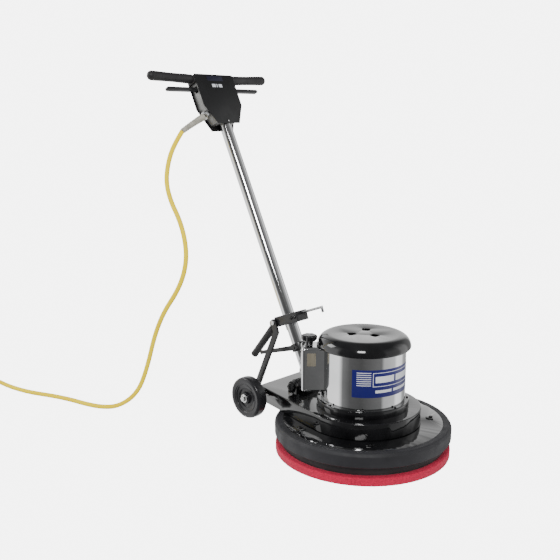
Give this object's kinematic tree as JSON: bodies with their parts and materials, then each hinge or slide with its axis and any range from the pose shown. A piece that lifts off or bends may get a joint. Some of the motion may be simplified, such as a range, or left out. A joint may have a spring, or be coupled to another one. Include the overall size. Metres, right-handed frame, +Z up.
{
  "type": "rotary floor machine",
  "caption": "Walk-behind rotary floor machine: a round scrubbing pad under a geared motor, with transport wheels, an adjustable handle and a mains cord.",
  "frame": {"origin": "centre of the floor pad's bottom face, where the motor's axis meets the floor", "axes": "+X forward, away from the operator; +Y to the operator's left; +Z up along the motor's axis"},
  "size_m": [1.8879, 1.0258, 1.0933],
  "materials": {
    "pad_red": "non-woven nylon fibre",
    "driver_plastic": "moulded",
    "grip_face": "short stiff hooks",
    "gear_steel": "machined",
    "zinc_steel": "bright zinc plate",
    "casting_black": "high-gloss black enamel",
    "label_blue": "printed vinyl",
    "label_white": "printed vinyl",
    "gloss_black": "high-gloss black enamel",
    "bumper_rubber": "matt moulded",
    "casting_grey": "as cast",
    "motor_iron": "laminated",
    "winding_copper": "enamelled wire",
    "chrome_plate": "mirror polish",
    "wheel_tyre": "satin moulded",
    "wheel_hub": "moulded",
    "black_casting": "satin black",
    "grip_black": "soft moulded",
    "knob_black": "moulded",
    "capacitor_shell": "drawn can",
    "sleeve_grey": "moulded sleeve",
    "cord_yellow": "smooth jacket",
    "plug_yellow": "moulded"
  },
  "bodies": {
    "base": {"ring_gear": "gear_steel", "deck_housing": "gloss_black", "bumper": "bumper_rubber", "gearbox_case": "casting_grey", "frame_casting": "casting_black", "base_fasteners": "zinc_steel", "motor_flange": "casting_black", "motor_shroud": "chrome_plate", "motor_cap": "casting_black", "motor_can": "casting_grey", "stator_core": "motor_iron", "stator_windings": "winding_copper", "bearings": "gear_steel", "capacitor_box": "chrome_plate", "start_capacitor": "capacitor_shell", "wheel_axle": "zinc_steel"},
    "pad_drive": {"floor_pad": "pad_red", "driver_face": "grip_face", "pad_driver": "driver_plastic", "clutch_plate": "casting_grey", "drive_hub": "gear_steel", "planet_carrier": "gear_steel"},
    "rotor": {"rotor_shaft": "gear_steel", "rotor_core": "motor_iron", "cooling_fan": "driver_plastic"},
    "planet_1": {"planet_gear_1": "gear_steel"},
    "planet_2": {"planet_gear_2": "gear_steel"},
    "planet_3": {"planet_gear_3": "gear_steel"},
    "knob": {"star_knob": "knob_black"},
    "wheel_left": {"wheel_hub_left": "wheel_hub", "wheel_tyre_left": "wheel_tyre"},
    "wheel_right": {"wheel_hub_right": "wheel_hub", "wheel_tyre_right": "wheel_tyre"},
    "lock": {"lock_lever": "black_casting"},
    "clamp": {"clamp_block": "black_casting", "clamp_fasteners": "zinc_steel", "cord_hook": "zinc_steel"},
    "cam": {"cam_lever": "black_casting", "cam_grip": "grip_black"},
    "brace": {"brace_leg_left": "black_casting", "brace_leg_right": "black_casting", "cross_pin": "zinc_steel"},
    "trigger_left": {"trigger_left": "grip_black"},
    "trigger_right": {"trigger_right": "grip_black"},
    "handle": {"handle_tube": "chrome_plate", "handle_foot": "black_casting", "lock_collar": "black_casting", "head_body": "casting_grey", "head_front_plate": "black_casting", "head_back_plate": "black_casting", "grip_bar": "black_casting", "hand_grip_left": "grip_black", "hand_grip_right": "grip_black", "head_fasteners": "zinc_steel", "switch_box": "driver_plastic", "cord_connector": "zinc_steel", "strain_relief": "sleeve_grey", "mains_cord": "cord_yellow", "cord_coil": "cord_yellow", "mains_plug": "plug_yellow"}
  },
  "joints": [
    {"name": "pad_spin", "type": "hinge", "parent": "base", "child": "pad_drive", "pos_m": [0, 0, 0], "axis": [0, 0, 1], "continuous": true},
    {"name": "rotor_spin", "type": "hinge", "parent": "base", "child": "rotor", "pos_m": [0, 0, 0.2], "axis": [0, 0, 1], "continuous": true},
    {"name": "planet_1_spin", "type": "hinge", "parent": "pad_drive", "child": "planet_1", "pos_m": [0.045, 0, 0.115], "axis": [0, 0, 1], "continuous": true},
    {"name": "planet_2_spin", "type": "hinge", "parent": "pad_drive", "child": "planet_2", "pos_m": [-0.0225, 0.03897, 0.115], "axis": [0, 0, 1], "continuous": true},
    {"name": "planet_3_spin", "type": "hinge", "parent": "pad_drive", "child": "planet_3", "pos_m": [-0.0225, -0.03897, 0.115], "axis": [0, 0, 1], "continuous": true},
    {"name": "knob_turn", "type": "hinge", "parent": "base", "child": "knob", "pos_m": [-0.11294, -0.10906, 0.32], "axis": [0, 0, 1], "continuous": true},
    {"name": "wheel_left_roll", "type": "hinge", "parent": "base", "child": "wheel_left", "pos_m": [-0.317, 0.154, 0.118], "axis": [0, 1, 0], "continuous": true},
    {"name": "wheel_right_roll", "type": "hinge", "parent": "base", "child": "wheel_right", "pos_m": [-0.317, -0.154, 0.118], "axis": [0, 1, 0], "continuous": true},
    {"name": "handle_tilt", "type": "hinge", "parent": "base", "child": "handle", "pos_m": [-0.203, 0, 0.16], "axis": [0, -1, 0], "range_deg": [-8, 20]},
    {"name": "clamp_slide", "type": "slide", "parent": "handle", "child": "clamp", "axis": [-0.4384, 0, 0.8988], "range_m": [-0.01812, 0.04469]},
    {"name": "brace_swing", "type": "hinge", "parent": "base", "child": "brace", "pos_m": [-0.317, 0, 0.118], "axis": [0, -1, 0], "range_deg": [-9.21, 22.72]},
    {"name": "cam_lift", "type": "hinge", "parent": "clamp", "child": "cam", "pos_m": [-0.34813, 0, 0.31841], "axis": [0, 1, 0], "range_deg": [0, 70]},
    {"name": "lock_lift", "type": "hinge", "parent": "handle", "child": "lock", "pos_m": [-0.24673, -0.028, 0.26106], "axis": [0, 1, 0], "range_deg": [0, 15]},
    {"name": "trigger_left_squeeze", "type": "hinge", "parent": "handle", "child": "trigger_left", "pos_m": [-0.63199, 0.052, 1.03956], "axis": [0.8988, 0, 0.4384], "range_deg": [0, 7], "stiffness_Nm_per_rad": 4, "springref_deg": -3.44},
    {"name": "trigger_right_squeeze", "type": "hinge", "parent": "handle", "child": "trigger_right", "pos_m": [-0.63199, -0.052, 1.03956], "axis": [-0.8988, 0, -0.4384], "range_deg": [0, 7], "stiffness_Nm_per_rad": 4, "springref_deg": -3.44}
  ],
  "couplings": [
    {"joint": "rotor_spin", "follows": "pad_spin", "ratio": 10},
    {"joint": "planet_1_spin", "follows": "pad_spin", "ratio": -2.25},
    {"joint": "planet_2_spin", "follows": "pad_spin", "ratio": -2.25},
    {"joint": "planet_3_spin", "follows": "pad_spin", "ratio": -2.25},
    {"joint": "clamp_slide", "follows": "handle_tilt", "m_per_rad": 0.12688},
    {"joint": "brace_swing", "follows": "handle_tilt", "ratio": 1.1261}
  ]
}
